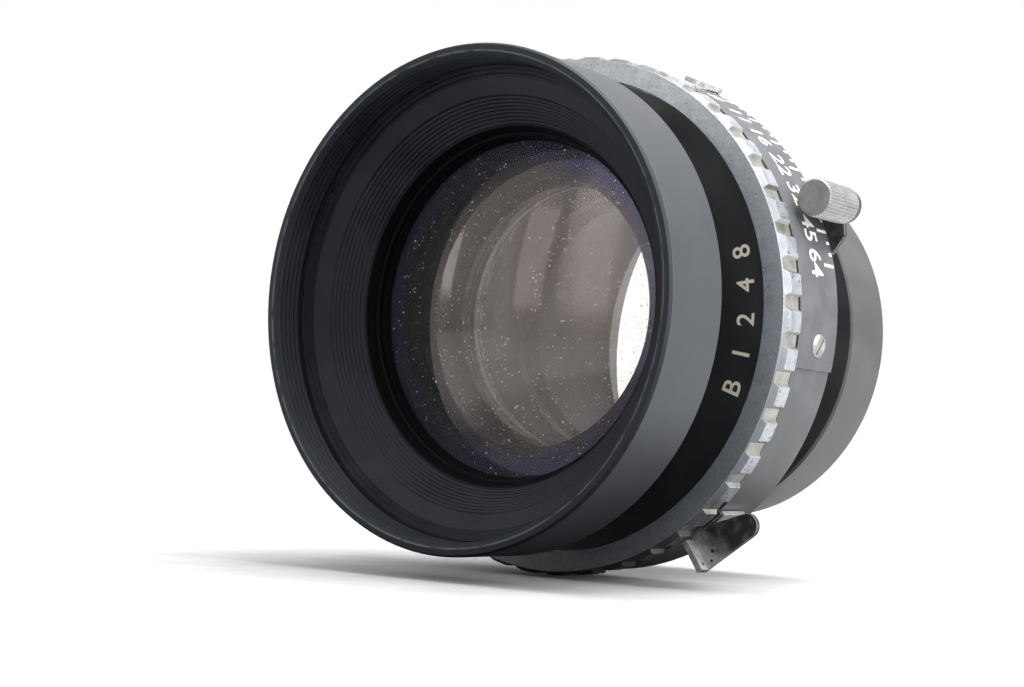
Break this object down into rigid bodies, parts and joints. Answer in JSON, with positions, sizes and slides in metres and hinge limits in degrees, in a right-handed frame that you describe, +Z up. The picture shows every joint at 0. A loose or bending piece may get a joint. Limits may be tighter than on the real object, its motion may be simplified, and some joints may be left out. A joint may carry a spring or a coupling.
{
  "type": "enlarger and view-camera lens in a leaf shutter",
  "caption": "Large-format lens in a leaf shutter: hooded front cell, notched speed ring, knob-driven iris, cocking lever, mounting nut and long rear cell.",
  "frame": {"origin": "on the optical axis, in the plane of the seat that bears on the lens board", "axes": "+Y along the optical axis towards the rear, +Z up as the scale is used, +X to the right seen from the front"},
  "size_m": [0.0724, 0.0615, 0.0652],
  "materials": {
    "black_paint": "satin black anodised and enamelled",
    "interior_black": "matt anti-reflection black",
    "case_paint": "satin black wrinkle-free enamel",
    "scale_paint": "satin black with white engraved marks",
    "dial_metal": "worn satin chrome with pitted crowns",
    "face_black": "satin black with cream and gold marks",
    "bright_steel": "bright plated",
    "dark_steel": "blackened steel, worn at the edges",
    "plain_steel": "brushed",
    "spring_steel": "drawn wire",
    "brass": "machined",
    "blade_black": "dry blackened steel leaf",
    "insulator": "moulded",
    "glass_front": "coated, faint mauve",
    "glass_rear": "coated"
  },
  "bodies": {
    "lens": {"front_barrel": "black_paint", "hood_ring": "interior_black", "baffle_cone": "interior_black", "front_crown_element": "glass_front", "front_flint_element": "glass_front", "front_meniscus": "glass_front", "front_spacer": "interior_black", "front_lock_ring": "interior_black", "rear_barrel": "black_paint", "rear_meniscus": "glass_rear", "rear_flint_element": "glass_rear", "rear_crown_element": "glass_rear", "rear_spacer": "interior_black", "rear_lock_ring": "interior_black", "shutter_case": "case_paint", "scale_strip": "scale_paint", "scale_screws": "plain_steel", "seat_ring": "black_paint", "seat_screws": "plain_steel", "mounting_tube": "interior_black", "board_nut": "black_paint", "face_plate": "face_black", "mechanism_plate": "interior_black", "iris_plate": "blade_black", "main_spring_post": "brass", "main_spring": "spring_steel", "release_pivot": "plain_steel", "release_spring": "spring_steel", "retard_arbors": "plain_steel", "cable_socket": "plain_steel", "sync_sleeve": "bright_steel", "sync_insulator": "insulator", "sync_pin": "brass"},
    "speed_dial": {"speed_ring": "dial_metal"},
    "aperture_control": {"aperture_ring": "dark_steel", "aperture_knob": "bright_steel", "aperture_index": "bright_steel", "iris_carrier_pin": "plain_steel", "iris_cam_ring": "brass"},
    "shutter_drive": {"shutter_drive_ring": "plain_steel", "preview_tab": "dark_steel"},
    "cocking": {"cocking_ring": "plain_steel", "cocking_lever": "dark_steel", "cocking_strap": "bright_steel"},
    "release": {"release_lever": "dark_steel"},
    "retard_gear": {"retard_gear": "brass"},
    "retard_flywheel": {"retard_flywheel": "brass"},
    "iris_leaf_1": {"iris_blade_1": "blade_black"},
    "iris_leaf_2": {"iris_blade_2": "blade_black"},
    "iris_leaf_3": {"iris_blade_3": "blade_black"},
    "iris_leaf_4": {"iris_blade_4": "blade_black"},
    "iris_leaf_5": {"iris_blade_5": "blade_black"},
    "iris_leaf_6": {"iris_blade_6": "blade_black"},
    "iris_leaf_7": {"iris_blade_7": "blade_black"},
    "shutter_leaf_1": {"shutter_blade_1": "blade_black"},
    "shutter_leaf_2": {"shutter_blade_2": "blade_black"},
    "shutter_leaf_3": {"shutter_blade_3": "blade_black"},
    "shutter_leaf_4": {"shutter_blade_4": "blade_black"},
    "shutter_leaf_5": {"shutter_blade_5": "blade_black"}
  },
  "joints": [
    {"name": "speed_turn", "type": "hinge", "parent": "lens", "child": "speed_dial", "pos_m": [0, 0, 0], "axis": [0, 1, 0], "range_deg": [-60, 60]},
    {"name": "aperture_turn", "type": "hinge", "parent": "lens", "child": "aperture_control", "pos_m": [0, 0, 0], "axis": [0, 1, 0], "range_deg": [0, 54.6]},
    {"name": "preview_turn", "type": "hinge", "parent": "lens", "child": "shutter_drive", "pos_m": [0, 0, 0], "axis": [0, 1, 0], "range_deg": [0, 20]},
    {"name": "cocking_turn", "type": "hinge", "parent": "lens", "child": "cocking", "pos_m": [0, 0, 0], "axis": [0, 1, 0], "range_deg": [0, 45]},
    {"name": "release_press", "type": "hinge", "parent": "lens", "child": "release", "pos_m": [-0.0273, 0, 0.00239], "axis": [0, 1, 0], "range_deg": [0, 12], "stiffness_Nm_per_rad": 0.004, "springref_deg": -2.86},
    {"name": "retard_turn", "type": "hinge", "parent": "lens", "child": "retard_gear", "pos_m": [0.01638, 0, 0.02096], "axis": [0, 1, 0], "range_deg": [0, 60]},
    {"name": "flywheel_turn", "type": "hinge", "parent": "lens", "child": "retard_flywheel", "pos_m": [0.01992, 0, 0.01763], "axis": [0, 1, 0], "range_deg": [-180.01, 0.01]},
    {"name": "iris_leaf_1_swing", "type": "hinge", "parent": "lens", "child": "iris_leaf_1", "pos_m": [0.00675, 0, 0.02707], "axis": [0, 1, 0], "range_deg": [-0.01, 28.54]},
    {"name": "iris_leaf_2_swing", "type": "hinge", "parent": "lens", "child": "iris_leaf_2", "pos_m": [0.02537, 0, 0.0116], "axis": [0, 1, 0], "range_deg": [-0.01, 28.54]},
    {"name": "iris_leaf_3_swing", "type": "hinge", "parent": "lens", "child": "iris_leaf_3", "pos_m": [0.02489, 0, -0.0126], "axis": [0, 1, 0], "range_deg": [-0.01, 28.54]},
    {"name": "iris_leaf_4_swing", "type": "hinge", "parent": "lens", "child": "iris_leaf_4", "pos_m": [0.00566, 0, -0.02732], "axis": [0, 1, 0], "range_deg": [-0.01, 28.54]},
    {"name": "iris_leaf_5_swing", "type": "hinge", "parent": "lens", "child": "iris_leaf_5", "pos_m": [-0.01783, 0, -0.02146], "axis": [0, 1, 0], "range_deg": [-0.01, 28.54]},
    {"name": "iris_leaf_6_swing", "type": "hinge", "parent": "lens", "child": "iris_leaf_6", "pos_m": [-0.02789, 0, 0.00056], "axis": [0, 1, 0], "range_deg": [-0.01, 28.54]},
    {"name": "iris_leaf_7_swing", "type": "hinge", "parent": "lens", "child": "iris_leaf_7", "pos_m": [-0.01696, 0, 0.02216], "axis": [0, 1, 0], "range_deg": [-0.01, 28.54]},
    {"name": "shutter_leaf_1_swing", "type": "hinge", "parent": "lens", "child": "shutter_leaf_1", "pos_m": [0.00675, 0, 0.02707], "axis": [0, 1, 0], "range_deg": [-0.01, 33.66]},
    {"name": "shutter_leaf_2_swing", "type": "hinge", "parent": "lens", "child": "shutter_leaf_2", "pos_m": [0.02783, 0, 0.00195], "axis": [0, 1, 0], "range_deg": [-0.01, 33.66]},
    {"name": "shutter_leaf_3_swing", "type": "hinge", "parent": "lens", "child": "shutter_leaf_3", "pos_m": [0.01045, 0, -0.02587], "axis": [0, 1, 0], "range_deg": [-0.01, 33.66]},
    {"name": "shutter_leaf_4_swing", "type": "hinge", "parent": "lens", "child": "shutter_leaf_4", "pos_m": [-0.02137, 0, -0.01793], "axis": [0, 1, 0], "range_deg": [-0.01, 33.66]},
    {"name": "shutter_leaf_5_swing", "type": "hinge", "parent": "lens", "child": "shutter_leaf_5", "pos_m": [-0.02366, 0, 0.01478], "axis": [0, 1, 0], "range_deg": [-0.01, 33.66]}
  ],
  "couplings": [
    {"joint": "flywheel_turn", "follows": "retard_turn", "ratio": -3},
    {"joint": "iris_leaf_1_swing", "follows": "aperture_turn", "ratio": 0.52255},
    {"joint": "iris_leaf_2_swing", "follows": "aperture_turn", "ratio": 0.52255},
    {"joint": "iris_leaf_3_swing", "follows": "aperture_turn", "ratio": 0.52255},
    {"joint": "iris_leaf_4_swing", "follows": "aperture_turn", "ratio": 0.52255},
    {"joint": "iris_leaf_5_swing", "follows": "aperture_turn", "ratio": 0.52255},
    {"joint": "iris_leaf_6_swing", "follows": "aperture_turn", "ratio": 0.52255},
    {"joint": "iris_leaf_7_swing", "follows": "aperture_turn", "ratio": 0.52255},
    {"joint": "shutter_leaf_1_swing", "follows": "preview_turn", "ratio": 1.6824},
    {"joint": "shutter_leaf_2_swing", "follows": "preview_turn", "ratio": 1.6824},
    {"joint": "shutter_leaf_3_swing", "follows": "preview_turn", "ratio": 1.6824},
    {"joint": "shutter_leaf_4_swing", "follows": "preview_turn", "ratio": 1.6824},
    {"joint": "shutter_leaf_5_swing", "follows": "preview_turn", "ratio": 1.6824}
  ]
}
